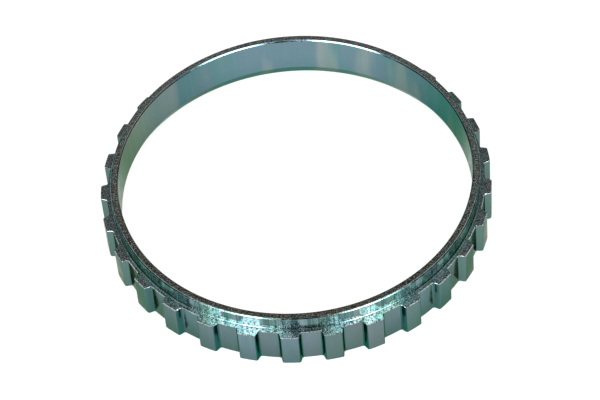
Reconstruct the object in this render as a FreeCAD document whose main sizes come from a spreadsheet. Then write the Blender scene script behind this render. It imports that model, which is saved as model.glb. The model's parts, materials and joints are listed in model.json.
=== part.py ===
# Tone ring of a wheel speed sensor: one pressed steel ring.
# The ring stands on its toothed end. Z is the bore's axis and the origin is on it, at the foot face.
# A tooth is centred on -Y. All sizes are in millimetres.

import FreeCAD, Part
import math
import os
import Sketcher

ringName = "tone_ring"
near = 0.001

# Driving sizes, each set once: name, value, what it is.
sizes = (
    ("bore_diameter", 86.7, "straight bore, pressed onto its seat"),
    ("ring_height", 13.7, "foot face to rim"),
    ("band_height", 9.8, "height of the toothed band"),
    ("collar_wall", 1.95, "collar, bore to outer wall"),
    ("band_wall", 3.05, "toothed band, bore to tooth roots"),
    ("tooth_count", 29, "teeth round the band"),
    ("tooth_depth", 1.6, "root to tip, radially"),
    ("tooth_tip_width", 4.3, "across the tip of a tooth"),
    ("tooth_root_width", 5.15, "across the root of a tooth"),
    ("root_fillet", 0.6, "hollow corner at the foot of each flank"),
    ("tip_round", 0.35, "rounded long edges of each tip"),
    ("foot_break", 0.3, "chamfer round the toothed outline, at the foot face"),
    ("step_rise", 0.3, "step at the collar's foot, above the band"),
    ("step_width", 0.25, "the same step, radially"),
    ("rim_chamfer", 0.3, "both edges of the rim"),
    ("lead_height", 3.8, "height of the cone that opens the bore towards the foot"),
    ("foot_land", 0.9, "foot face left between that cone and the tooth roots"),
)

doc = FreeCAD.newDocument("ToneRing")
sheet = doc.addObject("Spreadsheet::Sheet", "Sizes")
for row, (name, value, meaning) in enumerate(sizes, start=1):
    sheet.set("A" + str(row), name)
    sheet.set("B" + str(row), str(value))
    sheet.set("C" + str(row), meaning)
    sheet.setAlias("B" + str(row), name)
doc.recompute()

boreRadius = "Sizes.bore_diameter / 2"
collarRadius = boreRadius + " + Sizes.collar_wall"
stepRadius = collarRadius + " + Sizes.step_width"
rootRadius = boreRadius + " + Sizes.band_wall"
tipRadius = rootRadius + " + Sizes.tooth_depth"

body = doc.addObject("PartDesign::Body", "ToneRing")
body.Label = ringName
body.Placement = FreeCAD.Placement()


def originPlane(role):
    return next(item for item in body.Origin.OriginFeatures if item.Role == role)


def newSketch(name, role):
    sketch = body.newObject("Sketcher::SketchObject", name)
    sketch.AttachmentSupport = [(originPlane(role), "")]
    sketch.MapMode = "FlatFace"
    return sketch


# Adds one dimension to the sketch and ties it to the sheet.
def bind(sketch, name, constraint, expression):
    number = sketch.addConstraint(constraint)
    sketch.renameConstraint(number, name)
    sketch.setExpression("Constraints." + name, expression)


def value(name):
    return float(sheet.get(name))


# The section of the ring, with the toothed band still solid out to the tips.
# Each corner is given by its radius and height, and starts near its final place.
def makeSection():
    sketch = newSketch("RingSection", "XZ_Plane")
    bore = value("bore_diameter") / 2
    collar = bore + value("collar_wall")
    step = collar + value("step_width")
    tip = bore + value("band_wall") + value("tooth_depth")
    band = value("band_height")
    ledge = band + value("step_rise")
    top = value("ring_height")
    chamfer = value("rim_chamfer")
    corners = (
        ("leadFoot", bore + value("band_wall") - value("foot_land"), 0.0),
        ("tipFoot", tip, 0.0),
        ("tipTop", tip, band),
        ("stepFoot", step, band),
        ("stepTop", step, ledge),
        ("collarFoot", collar, ledge),
        ("collarTop", collar, top - chamfer),
        ("rimOuter", collar - chamfer, top),
        ("rimInner", bore + chamfer, top),
        ("boreTop", bore, top - chamfer),
        ("leadTop", bore, value("lead_height")),
    )
    index = {}
    for number, (name, radius, height) in enumerate(corners):
        nextRadius, nextHeight = corners[(number + 1) % len(corners)][1:]
        start = FreeCAD.Vector(radius, height, 0)
        end = FreeCAD.Vector(nextRadius, nextHeight, 0)
        index[name] = sketch.addGeometry(Part.LineSegment(start, end), False)
    for number in range(len(corners)):
        following = (number + 1) % len(corners)
        sketch.addConstraint(Sketcher.Constraint("Coincident", number, 2, following, 1))
    for name in ("leadFoot", "tipTop", "stepTop", "rimOuter"):
        sketch.addConstraint(Sketcher.Constraint("Horizontal", index[name]))
    for name in ("tipFoot", "stepFoot", "collarFoot", "boreTop"):
        sketch.addConstraint(Sketcher.Constraint("Vertical", index[name]))
    sketch.addConstraint(Sketcher.Constraint("PointOnObject", index["leadFoot"], 1, -1))

    rimHeight = "Sizes.ring_height"
    shoulder = "Sizes.ring_height - Sizes.rim_chamfer"
    radii = (
        ("leadFoot", rootRadius + " - Sizes.foot_land"),
        ("tipFoot", tipRadius),
        ("stepFoot", stepRadius),
        ("collarFoot", collarRadius),
        ("rimOuter", collarRadius + " - Sizes.rim_chamfer"),
        ("rimInner", boreRadius + " + Sizes.rim_chamfer"),
        ("boreTop", boreRadius),
    )
    heights = (
        ("tipTop", "Sizes.band_height"),
        ("stepTop", "Sizes.band_height + Sizes.step_rise"),
        ("collarTop", shoulder),
        ("rimOuter", rimHeight),
        ("boreTop", shoulder),
        ("leadTop", "Sizes.lead_height"),
    )
    place = {name: (radius, height) for name, radius, height in corners}
    for name, expression in radii:
        dimension = Sketcher.Constraint("DistanceX", -1, 1, index[name], 1, place[name][0])
        bind(sketch, name + "Radius", dimension, expression)
    for name, expression in heights:
        dimension = Sketcher.Constraint("DistanceY", -1, 1, index[name], 1, place[name][1])
        bind(sketch, name + "Height", dimension, expression)
    return sketch


# One gap between two teeth, symmetrical about the sketch's Y axis and open past the tips.
# The flanks are straight: each passes through its tooth's root corner and tip corner.
def makeGap():
    sketch = newSketch("ToothGap", "XY_Plane")
    halfPitch = "180 deg / Sizes.tooth_count"
    rootTurn = f"({halfPitch} - asin(Sizes.tooth_root_width / 2 / ({rootRadius})))"
    tipTurn = f"({halfPitch} - asin(Sizes.tooth_tip_width / 2 / ({tipRadius})))"
    root = value("bore_diameter") / 2 + value("band_wall")
    tip = root + value("tooth_depth")
    outside = tip + value("tooth_depth")
    rootAngle = math.pi / value("tooth_count") - math.asin(value("tooth_root_width") / 2 / root)
    tipAngle = math.pi / value("tooth_count") - math.asin(value("tooth_tip_width") / 2 / tip)
    rootX, rootY = root * math.sin(rootAngle), root * math.cos(rootAngle)
    tipX, tipY = tip * math.sin(tipAngle), tip * math.cos(tipAngle)
    outsideX = rootX + (tipX - rootX) * (outside - rootY) / (tipY - rootY)

    circle = Part.Circle(FreeCAD.Vector(0, 0, 0), FreeCAD.Vector(0, 0, 1), root)
    upwards = math.pi / 2
    floor = sketch.addGeometry(Part.ArcOfCircle(circle, upwards - rootAngle, upwards + rootAngle), False)
    corners = (
        (rootX, rootY),
        (outsideX, outside),
        (-outsideX, outside),
        (-rootX, rootY),
    )
    points = [FreeCAD.Vector(x, y, 0) for x, y in corners]
    right, closing, left = (
        sketch.addGeometry(Part.LineSegment(points[number], points[number + 1]), False) for number in range(3)
    )
    tipCorner = sketch.addGeometry(Part.Point(FreeCAD.Vector(tipX, tipY, 0)), True)
    sketch.addConstraint(Sketcher.Constraint("Coincident", floor, 3, -1, 1))
    sketch.addConstraint(Sketcher.Constraint("Coincident", floor, 1, right, 1))
    sketch.addConstraint(Sketcher.Constraint("Coincident", right, 2, closing, 1))
    sketch.addConstraint(Sketcher.Constraint("Coincident", closing, 2, left, 1))
    sketch.addConstraint(Sketcher.Constraint("Coincident", left, 2, floor, 2))
    sketch.addConstraint(Sketcher.Constraint("PointOnObject", tipCorner, 1, right))
    sketch.addConstraint(Sketcher.Constraint("Symmetric", closing, 1, closing, 2, -2))
    bind(sketch, "rootRadius", Sketcher.Constraint("Radius", floor, root), rootRadius)
    rootSine = f"({rootRadius}) * sin{rootTurn}"
    bind(sketch, "rootRight", Sketcher.Constraint("DistanceX", -1, 1, floor, 1, rootX), rootSine)
    bind(sketch, "rootLeft", Sketcher.Constraint("DistanceX", floor, 2, -1, 1, rootX), rootSine)
    tipSine = f"({tipRadius}) * sin{tipTurn}"
    tipCosine = f"({tipRadius}) * cos{tipTurn}"
    bind(sketch, "tipAcross", Sketcher.Constraint("DistanceX", -1, 1, tipCorner, 1, tipX), tipSine)
    bind(sketch, "tipAlong", Sketcher.Constraint("DistanceY", -1, 1, tipCorner, 1, tipY), tipCosine)
    pastTips = tipRadius + " + Sizes.tooth_depth"
    bind(sketch, "pastTips", Sketcher.Constraint("DistanceY", -1, 1, right, 2, outside), pastTips)
    return sketch


def radiusOf(point):
    return math.hypot(point.x, point.y)


# The upright edges of the toothed band that stand at one radius.
def uprightEdges(shape, radius):
    names = []
    for number, edge in enumerate(shape.Edges, start=1):
        first, last = edge.firstVertex().Point, edge.lastVertex().Point
        upright = abs(first.z - last.z) > near and abs(first.x - last.x) + abs(first.y - last.y) < near
        if upright and abs(radiusOf(first) - radius) < near:
            names.append("Edge" + str(number))
    return names


# The edges of the toothed outline in the foot face: all that lie outside the cone's mouth.
def footOutline(shape, mouthRadius):
    names = []
    for number, edge in enumerate(shape.Edges, start=1):
        ends = (edge.firstVertex().Point, edge.lastVertex().Point)
        if all(abs(point.z) < near and radiusOf(point) > mouthRadius + near for point in ends):
            names.append("Edge" + str(number))
    return names


def dress(kind, name, base, edges, sizeProperty, expression):
    feature = body.newObject(kind, name)
    feature.Base = (base, edges)
    feature.setExpression(sizeProperty, expression)
    body.Tip = feature
    doc.recompute()
    return feature


section = makeSection()
blank = body.newObject("PartDesign::Revolution", "Blank")
blank.Profile = section
blank.ReferenceAxis = (section, ["V_Axis"])
blank.Angle = 360
doc.recompute()

gap = makeGap()
cut = body.newObject("PartDesign::Pocket", "GapCut")
cut.Profile = gap
cut.Reversed = True
cut.setExpression("Length", "Sizes.band_height")
doc.recompute()

teeth = body.newObject("PartDesign::PolarPattern", "Teeth")
teeth.Originals = [cut]
teeth.Axis = (gap, ["N_Axis"])
teeth.Angle = 360
teeth.setExpression("Occurrences", "Sizes.tooth_count")
body.Tip = teeth
doc.recompute()

boreSize = value("bore_diameter") / 2
rootSize = boreSize + value("band_wall")
tipSize = rootSize + value("tooth_depth")
coneSize = rootSize - value("foot_land")

roots = dress("PartDesign::Fillet", "RootFillets", teeth, uprightEdges(teeth.Shape, rootSize),
              "Radius", "Sizes.root_fillet")
tips = dress("PartDesign::Fillet", "TipRounds", roots, uprightEdges(roots.Shape, tipSize),
             "Radius", "Sizes.tip_round")
footBreak = dress("PartDesign::Chamfer", "FootBreak", tips, footOutline(tips.Shape, coneSize),
                  "Size", "Sizes.foot_break")

for item in doc.Objects:
    if "Invalid" in item.State or "Error" in item.State:
        raise RuntimeError(item.Name + " failed")
solid = body.Shape
if solid.isNull() or not solid.isValid() or len(solid.Solids) != 1:
    raise RuntimeError("the ring isn't one valid solid")
gapVolume = blank.Shape.Volume - solid.Volume
if gapVolume <= 0:
    raise RuntimeError("the tooth gaps cut nothing")

os.makedirs("parts", exist_ok=True)
solid.exportStep(os.path.join("parts", ringName + ".step"))
print(f"{ringName}: {solid.Volume:.0f} cubic mm, {len(solid.Faces)} faces, gaps took {gapVolume:.0f}")
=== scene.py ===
import json
import math

import bmesh
import bpy
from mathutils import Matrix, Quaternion, Vector


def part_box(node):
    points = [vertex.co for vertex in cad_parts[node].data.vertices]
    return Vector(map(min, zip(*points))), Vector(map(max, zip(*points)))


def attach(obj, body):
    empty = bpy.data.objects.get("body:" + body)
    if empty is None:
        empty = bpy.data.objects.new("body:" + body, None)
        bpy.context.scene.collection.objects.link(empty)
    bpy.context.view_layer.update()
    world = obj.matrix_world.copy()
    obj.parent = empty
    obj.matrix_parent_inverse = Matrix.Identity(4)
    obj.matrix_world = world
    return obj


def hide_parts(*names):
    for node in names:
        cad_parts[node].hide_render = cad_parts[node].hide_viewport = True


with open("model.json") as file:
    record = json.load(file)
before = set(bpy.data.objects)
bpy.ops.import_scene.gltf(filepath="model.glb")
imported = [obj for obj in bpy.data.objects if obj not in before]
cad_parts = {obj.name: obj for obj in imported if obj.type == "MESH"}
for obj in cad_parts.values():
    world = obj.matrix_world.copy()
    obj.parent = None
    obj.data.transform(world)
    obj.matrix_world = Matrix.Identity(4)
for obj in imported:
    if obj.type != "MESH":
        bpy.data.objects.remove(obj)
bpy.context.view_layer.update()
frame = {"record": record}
mm = 0.001
print("frame loaded")


# camera: a long lens that looks down into the ring, tipped a little to the left
viewpoint = {
    "turn": 5.915,  # degrees round Z from straight in front, -Y
    "distance": 435.149,  # mm from the ring's axis, measured level
    "height": 527.219,
    "aim": (0.422, 2.135, 0.0),
    "roll": -5.394,
    "lens": 165.389,
    "sensor": 36.0,
    "clip": (0.01, 20.0),  # metres
}


def makeCamera():
    turn = math.radians(viewpoint["turn"])
    reach = viewpoint["distance"] * mm
    bpy.ops.object.camera_add(
        location=(reach * math.sin(turn), -reach * math.cos(turn), viewpoint["height"] * mm)
    )
    camera = bpy.context.object
    camera.name = "camera"
    aim = Vector(viewpoint["aim"]) * mm
    look = (aim - camera.location).to_track_quat("-Z", "Y")
    roll = Quaternion((0.0, 0.0, 1.0), math.radians(viewpoint["roll"]))
    camera.rotation_mode = "QUATERNION"
    camera.rotation_quaternion = look @ roll
    camera.data.lens = viewpoint["lens"]
    camera.data.sensor_width = viewpoint["sensor"]
    camera.data.clip_start, camera.data.clip_end = viewpoint["clip"]
    bpy.context.scene.camera = camera


makeCamera()
print("camera placed")


# ring: sizes in mm, angles in degrees
ringShape = {
    "teeth": 29,
    "firstTooth": -90.0,  # round Z from +X
    "stepsPerPitch": 14,  # points of the outline from one tooth to the next
    "bandHeight": 9.8,
    "bandWall": 3.05,  # bore to tooth roots
    "collarWall": 1.95,
    "tipWidth": 4.3,
    "rootWidth": 5.15,
    "rootFillet": 0.6,
    "tipRound": 0.35,
    "flankTurn": 75.0,  # how far the outline turns at each of these corners
    "roundSteps": 4,  # and in how many steps
    "stepRise": 0.3,  # step at the collar's foot
    "stepWidth": 0.25,
    "rimChamfer": 0.3,
    "footLand": 0.9,  # foot face between the cone and the tooth roots
    "footBreak": 0.3,  # toothed outline at the foot
    "footSteps": 3,
    "topBreak": 0.16,  # toothed outline at the top of the band
    "topSteps": 2,
    "edgeBreak": 0.05,  # plain loops, apart from the next three
    "rimBreak": 0.08,
    "stepRound": 0.05,
    "collarFoot": 0.15,
    "mergeWithin": 0.005,
    "smoothBelow": 20.0,  # faces that meet at less are shaded as one
}
near = 0.01  # mm
nearTurn = 0.05  # degrees
foldedFrom = 1.0  # radians between two faces


# radii and heights that follow from the sizes, the bore's mount and the solid's box
def ringPlaces():
    mounts = {mount["name"]: mount for mount in frame["record"]["mounts"]}
    bore = mounts["bore"]["dims"]["r_mm"]
    low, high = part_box("tone_ring")
    root = bore + ringShape["bandWall"]
    collar = bore + ringShape["collarWall"]
    top = high.z / mm
    shoulder = top - ringShape["rimChamfer"]
    return {
        "bore": bore,
        "root": root,
        "tip": -low.y / mm,
        "collar": collar,
        "step": collar + ringShape["stepWidth"],
        "rimOuter": collar - ringShape["rimChamfer"],
        "rimInner": bore + ringShape["rimChamfer"],
        "coneFoot": root - ringShape["footLand"],
        "band": ringShape["bandHeight"],
        "ledge": ringShape["bandHeight"] + ringShape["stepRise"],
        "shoulder": shoulder,
        "top": top,
        "coneTop": shoulder - mounts["bore"]["dims"]["length_mm"],
    }


ringAt = ringPlaces()


def radiusOf(point):
    return math.hypot(point.x, point.y)


# degrees round the ring from the middle of the nearest tooth
def offToothMiddle(point):
    pitch = 360.0 / ringShape["teeth"]
    turned = math.degrees(math.atan2(point.y, point.x)) - ringShape["firstTooth"]
    return (turned + pitch / 2) % pitch - pitch / 2


# half of a width, in degrees round the ring
def halfTurn(width, radius):
    return math.degrees(math.asin(width / 2 / radius))


def pickVerts(ring, test):
    bpy.ops.mesh.select_mode(type="VERT")
    bpy.ops.mesh.select_all(action="DESELECT")
    shape = bmesh.from_edit_mesh(ring.data)
    for vert in shape.verts:
        vert.select_set(test(vert.co / mm))
    shape.select_flush_mode()
    bmesh.update_edit_mesh(ring.data)


def pickEdges(ring, test):
    bpy.ops.mesh.select_mode(type="EDGE")
    bpy.ops.mesh.select_all(action="DESELECT")
    shape = bmesh.from_edit_mesh(ring.data)
    for edge in shape.edges:
        edge.select_set(test(edge.verts[0].co / mm, edge.verts[1].co / mm, edge))
    bmesh.update_edit_mesh(ring.data)


def scaleRound(factor):
    bpy.ops.transform.resize(value=(factor, factor, 1.0), center_override=(0.0, 0.0, 0.0))


def extrudeUp(height):
    bpy.ops.mesh.extrude_region_move(TRANSFORM_OT_translate={"value": (0.0, 0.0, height * mm)})


def bevelPicked(size, segments):
    bpy.ops.mesh.bevel(offset=size * mm, segments=segments, affect="EDGES", clamp_overlap=False)


# extrudes the selected loop to a new radius and height
def carryLoop(loop, radius, height):
    extrudeUp(height - loop["height"])
    scaleRound(radius / loop["radius"])
    loop["radius"], loop["height"] = radius, height


# extrudes the selected toothed outline in to a plain circle
def drawIn(ring, radius):
    extrudeUp(0.0)
    shape = bmesh.from_edit_mesh(ring.data)
    for vert in shape.verts:
        if vert.select:
            reach = radius / radiusOf(vert.co / mm)
            vert.co.x *= reach
            vert.co.y *= reach
    bmesh.update_edit_mesh(ring.data)


# a circle whose points move out at each tip, with the corners slid to the true flanks
def makeOutline():
    angleStep = 360.0 / ringShape["teeth"] / ringShape["stepsPerPitch"]
    tipTurn = halfTurn(ringShape["tipWidth"], ringAt["tip"])
    rootTurn = halfTurn(ringShape["rootWidth"], ringAt["root"])
    tipSteps = round(tipTurn / angleStep)

    bpy.ops.object.select_all(action="DESELECT")
    bpy.ops.mesh.primitive_circle_add(
        vertices=ringShape["teeth"] * ringShape["stepsPerPitch"],
        radius=ringAt["root"] * mm,
        fill_type="NOTHING",
    )
    ring = bpy.context.object
    ring.name = "plated_ring"
    bpy.ops.object.mode_set(mode="EDIT")

    pickVerts(ring, lambda point: abs(offToothMiddle(point)) < (tipSteps + 0.5) * angleStep)
    scaleRound(ringAt["tip"] / ringAt["root"])
    for side in (-1, 1):
        for steps, turn in ((tipSteps, tipTurn), (tipSteps + 1, rootTurn)):
            here = side * steps * angleStep
            pickVerts(ring, lambda point: abs(offToothMiddle(point) - here) < angleStep / 2)
            bpy.ops.transform.rotate(
                value=-side * math.radians(turn - steps * angleStep),
                orient_axis="Z",
                center_override=(0.0, 0.0, 0.0),
            )
    return ring


# hollow corners at the roots, rounded corners at the tips
def roundTeeth(ring):
    for radius, width, size in (
        (ringAt["root"], ringShape["rootWidth"], ringShape["rootFillet"]),
        (ringAt["tip"], ringShape["tipWidth"], ringShape["tipRound"]),
    ):
        turn = halfTurn(width, radius)

        def upright(first, last, edge):
            tall = abs(first.z - last.z) > ringAt["band"] / 2
            corner = abs(abs(offToothMiddle(first)) - turn) < nearTurn
            return tall and corner and abs(radiusOf(first) - radius) < near

        pickEdges(ring, upright)
        reach = size * math.tan(math.radians(ringShape["flankTurn"]) / 2)
        bevelPicked(reach, ringShape["roundSteps"])


# top of the band, step, collar, rim, bore and cone, as one loop carried along
def raiseCollar(ring):
    bandTop = ringAt["band"] - near
    pickEdges(ring, lambda first, last, edge: first.z > bandTop and last.z > bandTop)
    drawIn(ring, ringAt["step"])
    loop = {"radius": ringAt["step"], "height": ringAt["band"]}
    for radius, height in (
        (ringAt["step"], ringAt["ledge"]),
        (ringAt["collar"], ringAt["ledge"]),
        (ringAt["collar"], ringAt["shoulder"]),
        (ringAt["rimOuter"], ringAt["top"]),
        (ringAt["rimInner"], ringAt["top"]),
        (ringAt["bore"], ringAt["shoulder"]),
        (ringAt["bore"], ringAt["coneTop"]),
        (ringAt["coneFoot"], 0.0),
    ):
        carryLoop(loop, radius, height)


# foot face, from the toothed outline in to the mouth of the cone
def closeFoot(ring):
    def openOutline(first, last, edge):
        outside = min(radiusOf(first), radiusOf(last)) > ringAt["root"] - near
        return max(first.z, last.z) < near and edge.is_boundary and outside

    pickEdges(ring, openOutline)
    drawIn(ring, ringAt["coneFoot"])
    bpy.ops.mesh.select_all(action="SELECT")
    bpy.ops.mesh.remove_doubles(threshold=ringShape["mergeWithin"] * mm)
    bpy.ops.mesh.normals_make_consistent(inside=False)


# breaks the sharp edges: round the toothed outline first, then along the plain loops
def breakEdges(ring):
    def level(first, last, height):
        return abs(first.z - height) < near and abs(last.z - height) < near

    def toothedLoop(height):
        return lambda first, last, edge: (
            level(first, last, height)
            and len(edge.link_faces) == 2 and edge.calc_face_angle() > foldedFrom
            and min(radiusOf(first), radiusOf(last)) > ringAt["root"] - near
        )

    def plainLoop(radius, height):
        return lambda first, last, edge: (
            level(first, last, height)
            and abs(radiusOf(first) - radius) < near and abs(radiusOf(last) - radius) < near
        )

    pickEdges(ring, toothedLoop(0.0))
    bevelPicked(ringShape["footBreak"], ringShape["footSteps"])
    pickEdges(ring, toothedLoop(ringAt["band"]))
    bevelPicked(ringShape["topBreak"], ringShape["topSteps"])
    for radius, height, size, segments in (
        (ringAt["collar"], ringAt["shoulder"], ringShape["edgeBreak"], 1),
        (ringAt["rimOuter"], ringAt["top"], ringShape["rimBreak"], 1),
        (ringAt["rimInner"], ringAt["top"], ringShape["edgeBreak"], 1),
        (ringAt["bore"], ringAt["shoulder"], ringShape["edgeBreak"], 1),
        (ringAt["step"], ringAt["band"], ringShape["edgeBreak"], 2),
        (ringAt["step"], ringAt["ledge"], ringShape["stepRound"], 2),
        (ringAt["collar"], ringAt["ledge"], ringShape["collarFoot"], 1),
        (ringAt["bore"], ringAt["coneTop"], ringShape["edgeBreak"], 2),
    ):
        pickEdges(ring, plainLoop(radius, height))
        bevelPicked(size, segments)
    bpy.ops.mesh.select_all(action="SELECT")
    bpy.ops.mesh.normals_make_consistent(inside=False)


def makeRing():
    ring = makeOutline()
    bpy.ops.mesh.select_all(action="SELECT")
    extrudeUp(ringAt["band"])
    roundTeeth(ring)
    raiseCollar(ring)
    closeFoot(ring)
    breakEdges(ring)
    bpy.ops.object.mode_set(mode="OBJECT")
    bpy.ops.object.shade_smooth_by_angle(angle=math.radians(ringShape["smoothBelow"]))
    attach(ring, "root")
    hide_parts("tone_ring")
    print("ring modelled:", len(ring.data.polygons), "faces")
    return ring


ring = makeRing()


# node helpers
def newGroup(name, inputs, outputs):
    group = bpy.data.node_groups.new(name, "ShaderNodeTree")
    for label, kind, value in inputs:
        socket = group.interface.new_socket(name=label, in_out="INPUT", socket_type=kind)
        socket.default_value = value
    for label, kind in outputs:
        group.interface.new_socket(name=label, in_out="OUTPUT", socket_type=kind)
    given = group.nodes.new("NodeGroupInput").outputs
    result = group.nodes.new("NodeGroupOutput").inputs
    return group, given, result


def fill(tree, socket, value):
    if isinstance(value, bpy.types.NodeSocket):
        tree.links.new(value, socket)
    else:
        socket.default_value = value


def addNode(tree, kind, settings=None, values=None):
    node = tree.nodes.new(kind)
    for name, value in (settings or {}).items():
        setattr(node, name, value)
    for name, value in (values or {}).items():
        fill(tree, node.inputs[name], value)
    return node


def addMath(tree, operation, first, second=0.0):
    node = addNode(tree, "ShaderNodeMath", {"operation": operation})
    fill(tree, node.inputs[0], first)
    fill(tree, node.inputs[1], second)
    return node.outputs[0]


def addProduct(tree, first, second):
    return addMath(tree, "MULTIPLY", first, second)


def addRange(tree, value, low, high, toLow=0.0, toHigh=1.0):
    node = addNode(tree, "ShaderNodeMapRange", {"interpolation_type": "SMOOTHSTEP"}, {
        "Value": value, "From Min": low, "From Max": high, "To Min": toLow, "To Max": toHigh,
    })
    return node.outputs["Result"]


def addNoise(tree, place, scale, detail=2.0, roughness=0.5):
    node = addNode(tree, "ShaderNodeTexNoise", None, {
        "Vector": place, "Scale": scale, "Detail": detail, "Roughness": roughness,
    })
    return node.outputs["Fac"]


def addMix(tree, share, first, second, blend="MIX"):
    settings = {"data_type": "RGBA", "blend_type": blend}
    node = addNode(tree, "ShaderNodeMix", settings, {"Factor": share})
    fill(tree, node.inputs[6], first)
    fill(tree, node.inputs[7], second)
    return node.outputs[2]


# object coordinates in mm, stretched or shrunk along each axis
def addPlace(tree, stretch=(1.0, 1.0, 1.0)):
    place = addNode(tree, "ShaderNodeTexCoord")
    inMm = addNode(tree, "ShaderNodeMapping", None, {"Vector": place.outputs["Object"]})
    inMm.inputs["Scale"].default_value = [part / mm for part in stretch]
    return inMm.outputs["Vector"]


# the same coordinates one by one
def addAxes(tree):
    return addNode(tree, "ShaderNodeSeparateXYZ", None, {"Vector": addPlace(tree)}).outputs


def addGroup(tree, group, values):
    node = addNode(tree, "ShaderNodeGroup")
    node.node_tree = group
    for name, value in values.items():
        fill(tree, node.inputs[name], value)
    return node.outputs


def grey(level):
    return (level, level, level, 1.0)


# zinc plating with painted light: soft patches of tint, a painted reflection tint that leans to
# green or grey at the ring's two sides, and painted shade low down and towards both sides
platingAndLightLook = {
    "stretch": (1.0, 1.0, 0.2),
    "greenScale": 0.21,
    "greenNoise": (0.45, 0.62),
    "warmScale": 0.13,
    "warmNoise": (0.5, 0.66),
    "greenSide": (24.0, 41.0),  # mm across, from the middle
    "warmSide": (-30.0, -43.0),
    "sideFade": (14.0, 30.0),
    "footFade": (9.0, 0.0),  # mm above the foot
}


def makePlatingAndPaintedLight():
    look = platingAndLightLook
    tree, given, result = newGroup("platingAndPaintedLight", (
        ("Colour", "NodeSocketColor", grey(0.5)),
        ("Green", "NodeSocketColor", grey(0.5)),
        ("Warm", "NodeSocketColor", grey(0.5)),
        ("Patches", "NodeSocketFloat", 0.5),
        ("Lean", "NodeSocketFloat", 0.0),
        ("Foot Shade", "NodeSocketFloat", 0.3),
        ("Side Shade", "NodeSocketFloat", 0.0),
    ), (("Colour", "NodeSocketColor"),))
    place = addAxes(tree)
    upright = addPlace(tree, look["stretch"])
    greenPatch = addRange(tree, addNoise(tree, upright, look["greenScale"]), *look["greenNoise"])
    warmPatch = addRange(tree, addNoise(tree, upright, look["warmScale"]), *look["warmNoise"])
    # painted reflection tint: green at one side of the ring, a paler grey at the other
    across = addProduct(tree, place["X"], given["Lean"])
    greenSide = addRange(tree, across, *look["greenSide"])
    warmSide = addRange(tree, across, *look["warmSide"])
    green = addMath(tree, "MAXIMUM", addProduct(tree, greenPatch, given["Patches"]), greenSide)
    warm = addMath(tree, "MAXIMUM", addProduct(tree, warmPatch, given["Patches"]), warmSide)
    colour = addMix(tree, green, given["Colour"], given["Green"])
    colour = addMix(tree, warm, colour, given["Warm"])
    # painted shade towards both sides
    wide = addRange(tree, addMath(tree, "ABSOLUTE", place["X"]), *look["sideFade"])
    colour = addMix(tree, addProduct(tree, wide, given["Side Shade"]), colour, grey(0.0))
    # painted shade, darker low down near the foot
    low = addRange(tree, place["Z"], *look["footFade"])
    colour = addMix(tree, addProduct(tree, low, given["Foot Shade"]), colour, grey(0.0))
    tree.links.new(colour, result["Colour"])
    return tree


# pits, nicks and hairline scratches from handling
handlingLook = {
    "wanderScale": 1.6,  # noise that bends the outlines of the pits
    "wanderDetail": 3.0,
    "wander": 0.35,
    "pitScale": 0.42,
    "pitSize": 0.1,
    "pitEdge": 0.03,
    "pitColour": (0.03, 0.06, 0.07, 1.0),
    "pitRoughness": 0.3,
    "pitDepth": 3.0,  # times that of the die's lines
    "pitGroupScale": 0.5,  # pits and scratches gather in groups
    "pitGroupNoise": (0.5, 0.75),
    "scratchTurn": (0.9, 0.5, 0.3),
    "scratchStretch": (0.03, 5.0, 0.05),
    "scratchNoise": (1.0, 1.0, 0.3),  # scale, detail and roughness
    "scratchLevel": 0.56,  # a hairline runs where the noise crosses this
    "scratchWidth": 0.012,
    "scratchGroupScale": 0.35,
    "scratchGroupNoise": (0.52, 0.66),
    "scratches": 0.3,
    "scratchColour": (0.26, 0.33, 0.33, 1.0),
}


def makeHandlingMarks():
    look = handlingLook
    tree, given, result = newGroup("handlingMarks", (
        ("Pit Amount", "NodeSocketFloat", 0.5),
        ("Scratch Amount", "NodeSocketFloat", 0.5),
    ), (("Pits", "NodeSocketFloat"), ("Scratches", "NodeSocketFloat")))
    place = addPlace(tree)
    wander = addNode(tree, "ShaderNodeTexNoise", None, {
        "Vector": place, "Scale": look["wanderScale"], "Detail": look["wanderDetail"],
    })
    pushed = addMix(tree, look["wander"], place, wander.outputs["Color"], "ADD")
    cells = addNode(tree, "ShaderNodeTexVoronoi", None, {
        "Vector": pushed, "Scale": look["pitScale"],
    })
    grouped = addRange(tree, addNoise(tree, place, look["pitGroupScale"]), *look["pitGroupNoise"])
    size = addProduct(tree, grouped, look["pitSize"])
    past = addMath(tree, "SUBTRACT", cells.outputs["Distance"], size)
    inside = addRange(tree, past, look["pitEdge"], -look["pitEdge"])
    tree.links.new(addProduct(tree, inside, given["Pit Amount"]), result["Pits"])

    slanted = addNode(tree, "ShaderNodeMapping", None, {"Vector": place})
    slanted.inputs["Rotation"].default_value = look["scratchTurn"]
    slanted.inputs["Scale"].default_value = look["scratchStretch"]
    lines = addNoise(tree, slanted.outputs["Vector"], *look["scratchNoise"])
    past = addMath(tree, "ABSOLUTE", addMath(tree, "SUBTRACT", lines, look["scratchLevel"]))
    hair = addRange(tree, past, look["scratchWidth"], 0.0)
    groupNoise = addNoise(tree, place, look["scratchGroupScale"])
    grouped = addRange(tree, groupNoise, *look["scratchGroupNoise"])
    few = addProduct(tree, grouped, given["Scratch Amount"])
    tree.links.new(addProduct(tree, hair, few), result["Scratches"])
    return tree


# fine lines that the die draws along the sides, from foot to rim
dieLook = {
    "stretch": (1.0, 1.0, 0.03),
    "lines": (4.0, 0.6),  # detail and roughness of the noise
    "streaks": (3.0, 0.7),
    "streakFineness": 0.3,  # times that of the lines
    "streakNoise": (0.42, 0.6),
}


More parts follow.
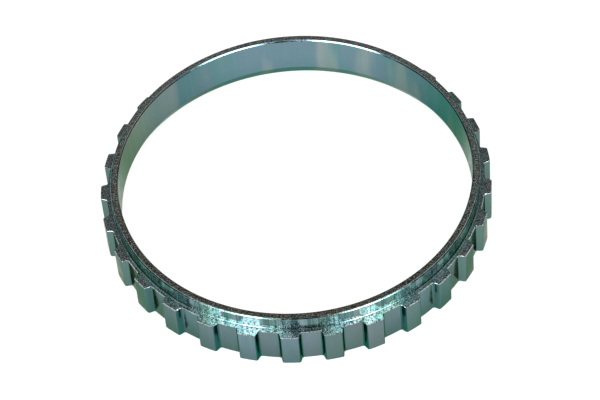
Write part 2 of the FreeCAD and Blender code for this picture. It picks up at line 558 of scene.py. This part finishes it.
def makeDieLines():
    look = dieLook
    tree, given, result = newGroup("dieLines", (
        ("Fineness", "NodeSocketFloat", 4.0),
    ), (("Height", "NodeSocketFloat"), ("Streaks", "NodeSocketFloat")))
    drawn = addPlace(tree, look["stretch"])
    tree.links.new(addNoise(tree, drawn, given["Fineness"], *look["lines"]), result["Height"])
    broad = addProduct(tree, given["Fineness"], look["streakFineness"])
    streaks = addNoise(tree, drawn, broad, *look["streaks"])
    tree.links.new(addRange(tree, streaks, *look["streakNoise"]), result["Streaks"])
    return tree


# pressed powder faces: packed grains, small voids and specks of tint
grainLook = {
    "grains": (3.0, 0.5),  # detail and roughness of the noise
    "grainHeight": 0.6,  # times the depth of a void
    "voidNoise": (0.50, 0.38),
    "specks": (1.0, 0.5),
    "speckFineness": 1.7,  # times that of the grains
    "speckNoise": (0.50, 0.62),
    "tintScale": 0.9,
}


def makePressedGrain():
    look = grainLook
    tree, given, result = newGroup("pressedGrain", (
        ("Fineness", "NodeSocketFloat", 3.0),
    ), (
        ("Height", "NodeSocketFloat"),
        ("Voids", "NodeSocketFloat"),
        ("Specks", "NodeSocketFloat"),
        ("Tints", "NodeSocketFloat"),
    ))
    place = addPlace(tree)
    grains = addNoise(tree, place, given["Fineness"], *look["grains"])
    voids = addRange(tree, grains, *look["voidNoise"])
    raised = addProduct(tree, grains, look["grainHeight"])
    tree.links.new(addMath(tree, "SUBTRACT", raised, voids), result["Height"])
    tree.links.new(voids, result["Voids"])
    finer = addProduct(tree, given["Fineness"], look["speckFineness"])
    specks = addNoise(tree, place, finer, *look["specks"])
    tree.links.new(addRange(tree, specks, *look["speckNoise"]), result["Specks"])
    tints = addNode(tree, "ShaderNodeTexVoronoi", None, {
        "Vector": place, "Scale": look["tintScale"],
    })
    parts = addNode(tree, "ShaderNodeSeparateColor", None, {"Color": tints.outputs["Color"]})
    tree.links.new(parts.outputs["Red"], result["Tints"])
    return tree


# a chance value for each tooth and each gap, because no two took the tint alike
chanceLook = {
    "tintNoise": (0.4, 1.0),
    "tintShare": 0.7,
    "shadeShare": 0.12,
}


def makeToothChance():
    look = chanceLook
    tree, given, result = newGroup("toothChance", (
        ("Teeth", "NodeSocketFloat", float(ringShape["teeth"])),
    ), (
        ("Green", "NodeSocketFloat"),
        ("Warm", "NodeSocketFloat"),
        ("Shade", "NodeSocketFloat"),
    ))
    place = addAxes(tree)
    turn = addMath(tree, "ARCTAN2", place["Y"], place["X"])
    fromFirst = addMath(tree, "SUBTRACT", turn, math.radians(ringShape["firstTooth"]))
    perRadian = addMath(tree, "DIVIDE", given["Teeth"], math.pi)
    cell = addMath(tree, "ROUND", addProduct(tree, fromFirst, perRadian))
    chance = addNode(tree, "ShaderNodeTexWhiteNoise", {"noise_dimensions": "1D"}, {"W": cell})
    parts = addNode(tree, "ShaderNodeSeparateColor", None, {"Color": chance.outputs["Color"]})
    for part, label in (("Red", "Green"), ("Green", "Warm")):
        tint = addRange(tree, parts.outputs[part], *look["tintNoise"])
        tree.links.new(tint, result[label])
    tree.links.new(parts.outputs["Blue"], result["Shade"])
    return tree


platingAndPaintedLight = makePlatingAndPaintedLight()
handlingMarks = makeHandlingMarks()
dieLines = makeDieLines()
pressedGrain = makePressedGrain()
toothChance = makeToothChance()
print("finish groups made")


# sides that the die formed
toothFinish = {
    "colour": (0.160, 0.245, 0.290, 1.0),
    "green": (0.120, 0.200, 0.190, 1.0),
    "warm": (0.190, 0.205, 0.200, 1.0),
    "streak": (0.120, 0.185, 0.190, 1.0),
    "streakShare": 0.35,
    "edgeTint": (0.36, 0.46, 0.34, 1.0),
    "patches": 0.4,
    # painted light: a reflection tint at the sides and shade low down
    "lean": -0.6,
    "footShade": 0.2,
    "sideShade": 0.0,
    "roughness": (0.13, 0.21),
    "fineness": 5.0,
    "lineDepth": 0.004,  # mm
    "pits": 0.9,
}
flankPaintedShade = {
    "dark": (0.032, 0.110, 0.105, 1.0),  # painted shade: the flanks darkened to a deep green
    "open": (0.110, 0.190, 0.175, 1.0),
    "fade": (30.0, 42.0),  # mm from the middle, across
    "facing": (0.1, 0.7),  # how far a face looks along the ring
}
boreFinish = {
    "colour": (0.145, 0.240, 0.285, 1.0),
    "green": (0.100, 0.265, 0.260, 1.0),
    "warm": (0.330, 0.375, 0.330, 1.0),
    "streak": (0.120, 0.215, 0.250, 1.0),
    "streakShare": 0.25,
    "edgeTint": (0.33, 0.45, 0.34, 1.0),
    "patches": 0.5,
    # the next three are painted light: a reflection tint at the sides, shade low down and shade
    # towards both sides
    "lean": 1.0,
    "footShade": 0.12,
    "sideShade": 0.26,
    "roughness": (0.14, 0.22),
    "fineness": 3.0,
    "lineDepth": 0.003,
    "pits": 0.25,
}
collarFinish = {
    "colour": (0.200, 0.285, 0.305, 1.0),
    "green": (0.130, 0.240, 0.210, 1.0),
    "warm": (0.200, 0.260, 0.250, 1.0),
    "streak": (0.040, 0.115, 0.115, 1.0),
    "streakShare": 0.75,
    "edgeTint": (0.36, 0.50, 0.40, 1.0),
    "patches": 0.8,
    "lean": 0.0,
    "footShade": 0.0,
    "sideShade": 0.0,
    "roughness": (0.13, 0.22),
    "fineness": 3.5,
    "lineDepth": 0.014,
    "pits": 0.3,
}
# soft clouds that carry the sides from one roughness to the other
sheenLook = {
    "scale": 0.6,
    "detail": 3.0,
    "noise": (0.35, 0.65),
}

# pressed faces: the rim and the foot
rimFinish = {
    "colour": (0.215, 0.200, 0.165, 1.0),
    "green": (0.250, 0.310, 0.325, 1.0),
    "warm": (0.300, 0.210, 0.190, 1.0),
    "olive": (0.200, 0.195, 0.110, 1.0),
    "speck": (0.35, 0.34, 0.30, 1.0),
    "void": (0.030, 0.034, 0.036, 1.0),
    "edgeTint": (0.60, 0.62, 0.56, 1.0),
    # painted shade: share of black towards the front
    "frontShade": 0.42,
    "roughness": (0.10, 0.42),
    "fineness": 2.2,
    "grainDepth": 0.020,  # mm
}
# pressed faces: the top of the band, its broken edge and the step
landFinish = {
    "colour": (0.320, 0.380, 0.400, 1.0),
    "green": (0.260, 0.370, 0.360, 1.0),
    "warm": (0.340, 0.320, 0.370, 1.0),
    "olive": (0.300, 0.330, 0.300, 1.0),
    "speck": (0.40, 0.45, 0.46, 1.0),
    "void": (0.085, 0.095, 0.110, 1.0),
    "edgeTint": (0.60, 0.66, 0.62, 1.0),
    "frontShade": 0.0,
    "roughness": (0.12, 0.29),
    "fineness": 2.2,
    "grainDepth": 0.009,
}
pressedLook = {
    "patches": 0.8,
    "back": (-20.0, 30.0, 0.0, 0.8),  # mm towards the back, then the share that turns green
    "front": (0.0, -30.0, 0.0, 0.9),
    "oliveNoise": (0.55, 0.75),
    "pits": 0.5,
}


def newMetal(name, edgeTint):
    material = bpy.data.materials.new(name)
    material.use_nodes = True
    tree = material.node_tree
    shader = tree.nodes["Principled BSDF"]
    shader.inputs["Metallic"].default_value = 1.0
    shader.inputs["Specular Tint"].default_value = edgeTint
    return material, tree, shader.inputs


# 1 where the surface looks along the ring, as a flank does
def addFlankMask(tree):
    place = addNode(tree, "ShaderNodeTexCoord").outputs["Object"]
    along = addNode(tree, "ShaderNodeVectorMath", {"operation": "CROSS_PRODUCT"})
    tree.links.new(place, along.inputs[0])
    along.inputs[1].default_value = (0.0, 0.0, 1.0)
    unit = addNode(tree, "ShaderNodeVectorMath", {"operation": "NORMALIZE"})
    tree.links.new(along.outputs["Vector"], unit.inputs[0])
    facing = addNode(tree, "ShaderNodeVectorMath", {"operation": "DOT_PRODUCT"})
    tree.links.new(unit.outputs["Vector"], facing.inputs[0])
    tree.links.new(addNode(tree, "ShaderNodeNewGeometry").outputs["Normal"], facing.inputs[1])
    either = addMath(tree, "ABSOLUTE", facing.outputs["Value"])
    return addRange(tree, either, *flankPaintedShade["facing"])


# each tooth's own tint
def addToothTints(tree, colour, finish):
    chance = addGroup(tree, toothChance, {"Teeth": float(ringShape["teeth"])})
    for label, tint in (("Green", "green"), ("Warm", "warm")):
        share = addProduct(tree, chance[label], chanceLook["tintShare"])
        colour = addMix(tree, share, colour, finish[tint])
    share = addProduct(tree, chance["Shade"], chanceLook["shadeShare"])
    return addMix(tree, share, colour, grey(0.0))


# painted shade on the flanks: a dark green over the colour of tips and gaps, paler towards both
# sides
def addFlankShade(tree, colour):
    across = addMath(tree, "ABSOLUTE", addAxes(tree)["X"])
    outer = addRange(tree, across, *flankPaintedShade["fade"])
    flank = addMix(tree, outer, flankPaintedShade["dark"], flankPaintedShade["open"])
    return addMix(tree, addFlankMask(tree), colour, flank)


def makeSideMetal(name, finish, toothed=False):
    material, tree, sockets = newMetal(name, finish["edgeTint"])
    colour = addGroup(tree, platingAndPaintedLight, {
        "Colour": finish["colour"], "Green": finish["green"], "Warm": finish["warm"],
        "Patches": finish["patches"], "Lean": finish["lean"], "Foot Shade": finish["footShade"],
        "Side Shade": finish["sideShade"],
    })["Colour"]
    if toothed:
        colour = addToothTints(tree, colour, finish)
    lines = addGroup(tree, dieLines, {"Fineness": finish["fineness"]})
    streaks = addProduct(tree, lines["Streaks"], finish["streakShare"])
    colour = addMix(tree, streaks, colour, finish["streak"])
    marks = addGroup(tree, handlingMarks, {
        "Pit Amount": finish["pits"], "Scratch Amount": handlingLook["scratches"],
    })
    colour = addMix(tree, marks["Pits"], colour, handlingLook["pitColour"])
    colour = addMix(tree, marks["Scratches"], colour, handlingLook["scratchColour"])
    # painted shade on the flanks
    if toothed:
        colour = addFlankShade(tree, colour)
    tree.links.new(colour, sockets["Base Color"])

    cloudy = addNoise(tree, addPlace(tree), sheenLook["scale"], sheenLook["detail"])
    sheen = addRange(tree, cloudy, *sheenLook["noise"], *finish["roughness"])
    duller = addProduct(tree, marks["Pits"], handlingLook["pitRoughness"])
    tree.links.new(addMath(tree, "ADD", sheen, duller), sockets["Roughness"])
    dents = addProduct(tree, marks["Pits"], -handlingLook["pitDepth"])
    bump = addNode(tree, "ShaderNodeBump", None, {
        "Height": addMath(tree, "ADD", lines["Height"], dents),
        "Distance": finish["lineDepth"] * mm,
    })
    tree.links.new(bump.outputs["Normal"], sockets["Normal"])
    return material


def makePressedMetal(name, finish):
    material, tree, sockets = newMetal(name, finish["edgeTint"])
    colour = addGroup(tree, platingAndPaintedLight, {
        "Colour": finish["colour"], "Green": finish["green"], "Warm": finish["warm"],
        "Patches": pressedLook["patches"], "Lean": 0.0, "Foot Shade": 0.0,
    })["Colour"]
    towardsBack = addAxes(tree)["Y"]
    back = addRange(tree, towardsBack, *pressedLook["back"])
    front = addRange(tree, towardsBack, *pressedLook["front"])
    colour = addMix(tree, back, colour, finish["green"])
    grain = addGroup(tree, pressedGrain, {"Fineness": finish["fineness"]})
    olive = addRange(tree, grain["Tints"], *pressedLook["oliveNoise"])
    colour = addMix(tree, addProduct(tree, front, olive), colour, finish["olive"])
    colour = addMix(tree, grain["Specks"], colour, finish["speck"])
    colour = addMix(tree, grain["Voids"], colour, finish["void"])
    # painted shade towards the front
    colour = addMix(tree, addProduct(tree, front, finish["frontShade"]), colour, grey(0.0))
    marks = addGroup(tree, handlingMarks, {"Pit Amount": pressedLook["pits"]})
    colour = addMix(tree, marks["Pits"], colour, finish["void"])
    tree.links.new(colour, sockets["Base Color"])

    coarse = addMath(tree, "MAXIMUM", grain["Specks"], grain["Voids"])
    tree.links.new(addRange(tree, coarse, 0.0, 1.0, *finish["roughness"]), sockets["Roughness"])
    bump = addNode(tree, "ShaderNodeBump", None, {
        "Height": grain["Height"], "Distance": finish["grainDepth"] * mm,
    })
    tree.links.new(bump.outputs["Normal"], sockets["Normal"])
    return material


# which faces are pressed ones, by the upright part of the normal and the height in mm
pressedPlaces = {
    "flatFrom": 0.95,
    "brokenFrom": 0.3,  # the broken edge round the top of the teeth
    "land": (9.0, 11.0),
}
finishOrder = ("teeth", "bore", "collar", "rim", "land")


def finishOf(face):
    middle, facing = face.center / mm, face.normal
    landLow, landHigh = pressedPlaces["land"]
    outside = radiusOf(middle) > ringAt["step"] and middle.z > landLow
    broken = outside and facing.z > pressedPlaces["brokenFrom"]
    if broken or abs(facing.z) > pressedPlaces["flatFrom"]:
        return "land" if landLow < middle.z < landHigh else "rim"
    if facing.x * middle.x + facing.y * middle.y < 0:  # it looks inwards
        return "bore"
    return "collar" if middle.z > ringAt["band"] else "teeth"


def finishRing():
    metals = {
        "teeth": makeSideMetal("platedTeeth", toothFinish, toothed=True),
        "bore": makeSideMetal("platedBore", boreFinish),
        "collar": makeSideMetal("platedCollar", collarFinish),
        "rim": makePressedMetal("pressedRim", rimFinish),
        "land": makePressedMetal("pressedLand", landFinish),
    }
    for name in finishOrder:
        ring.data.materials.append(metals[name])
    for face in ring.data.polygons:
        face.material_index = finishOrder.index(finishOf(face))


finishRing()
print("ring finished")


# floor: white paper, which keeps a soft shadow
floorPaper = {
    "radius": 3.0,
    "corners": 64,
    "colour": (0.20, 0.20, 0.20, 1.0),
    "glow": 0.82,
}


def makeFloor():
    bpy.ops.object.select_all(action="DESELECT")
    bpy.ops.mesh.primitive_circle_add(
        vertices=floorPaper["corners"], radius=floorPaper["radius"], fill_type="NGON"
    )
    floor = bpy.context.object
    floor.name = "floor"
    paper = bpy.data.materials.new("whitePaper")
    paper.use_nodes = True
    tree = paper.node_tree
    tree.nodes.clear()
    rays = addNode(tree, "ShaderNodeLightPath").outputs
    seen = addMath(tree, "MAXIMUM", rays["Is Camera Ray"], rays["Is Glossy Ray"])
    seen = addMath(tree, "MAXIMUM", seen, rays["Is Transmission Ray"])
    diffuse = addNode(tree, "ShaderNodeBsdfDiffuse", None, {"Color": floorPaper["colour"]})
    strength = addProduct(tree, seen, floorPaper["glow"])
    glow = addNode(tree, "ShaderNodeEmission", None, {"Strength": strength})
    both = addNode(tree, "ShaderNodeAddShader")
    tree.links.new(diffuse.outputs[0], both.inputs[0])
    tree.links.new(glow.outputs[0], both.inputs[1])
    tree.links.new(both.outputs[0], addNode(tree, "ShaderNodeOutputMaterial").inputs["Surface"])
    floor.data.materials.append(paper)


makeFloor()
print("floor laid")


# lamps: turn and rise in degrees, turn from the camera's side, the rest in metres
softBoxes = {
    "leftBox": {"turn": -39.5, "rise": 44.5, "away": 0.6, "size": (0.31, 0.28), "radiance": 13.0},
    "rightBox": {"turn": 34.5, "rise": 44.5, "away": 0.6, "size": (0.27, 0.28), "radiance": 14.0},
    "topBox": {"turn": 180.0, "rise": 80.0, "away": 0.8, "size": (0.50, 0.50), "radiance": 1.4},
}


# a unit vector, with turn 0 on the camera's side
def direction(turn, rise):
    turn, rise = math.radians(viewpoint["turn"] + turn), math.radians(rise)
    level = math.cos(rise)
    return Vector((level * math.sin(turn), -level * math.cos(turn), math.sin(rise)))


def makeLamps():
    for name, box in softBoxes.items():
        place = direction(box["turn"], box["rise"]) * box["away"]
        bpy.ops.object.light_add(type="AREA", location=place)
        lamp = bpy.context.object
        lamp.name = name
        lamp.data.shape = "RECTANGLE"
        lamp.data.size, lamp.data.size_y = box["size"]
        lamp.data.energy = box["radiance"] * math.pi * lamp.data.size * lamp.data.size_y
        lamp.rotation_mode = "QUATERNION"
        lamp.rotation_quaternion = (-lamp.location).to_track_quat("-Z", "Y")


makeLamps()
print("lamps set")


# room: dark behind the camera, soft glows behind the ring and high at its sides, and a pale
# band at floor level
room = {
    "plain": 0.01,
    "darkRise": 30.0,
    "dark": (0.15, 0.55),  # cosine of the angle off its middle, as in both edges below
    "glow": 0.17,
    "glowRise": 30.0,
    "glowEdge": (0.866, 0.97),
    "sideGlow": 1.5,
    "sideTurn": 100.0,
    "sideRise": 58.0,
    "sideEdge": (0.86, 0.94),
    "paleBand": 0.8,
    "bandEdge": (0.11, 0.05),  # sine of the height angle
}


def makeRoom():
    world = bpy.data.worlds.new("room")
    bpy.context.scene.world = world
    world.use_nodes = True
    tree = world.node_tree
    seen = addNode(tree, "ShaderNodeTexCoord").outputs["Generated"]

    def towards(turn, rise):
        dot = addNode(tree, "ShaderNodeVectorMath", {"operation": "DOT_PRODUCT"})
        tree.links.new(seen, dot.inputs[0])
        dot.inputs[1].default_value = direction(turn, rise)
        return dot.outputs["Value"]

    light = addRange(tree, towards(0.0, room["darkRise"]), *room["dark"], room["plain"], 0.0)
    for turn, rise, edge, glow in (
        (180.0, room["glowRise"], room["glowEdge"], room["glow"]),
        (-room["sideTurn"], room["sideRise"], room["sideEdge"], room["sideGlow"]),
        (room["sideTurn"], room["sideRise"], room["sideEdge"], room["sideGlow"]),
    ):
        light = addMath(tree, "ADD", light, addRange(tree, towards(turn, rise), *edge, 0.0, glow))
    upright = addNode(tree, "ShaderNodeSeparateXYZ", None, {"Vector": seen}).outputs["Z"]
    height = addMath(tree, "ABSOLUTE", upright)
    pale = addRange(tree, height, *room["bandEdge"], 0.0, room["paleBand"])
    background = tree.nodes["Background"].inputs
    tree.links.new(addMath(tree, "ADD", light, pale), background["Strength"])
    background["Color"].default_value = grey(1.0)


makeRoom()
print("room lit")

bpy.context.scene.view_settings.view_transform = "Standard"

bpy.context.view_layer.update()
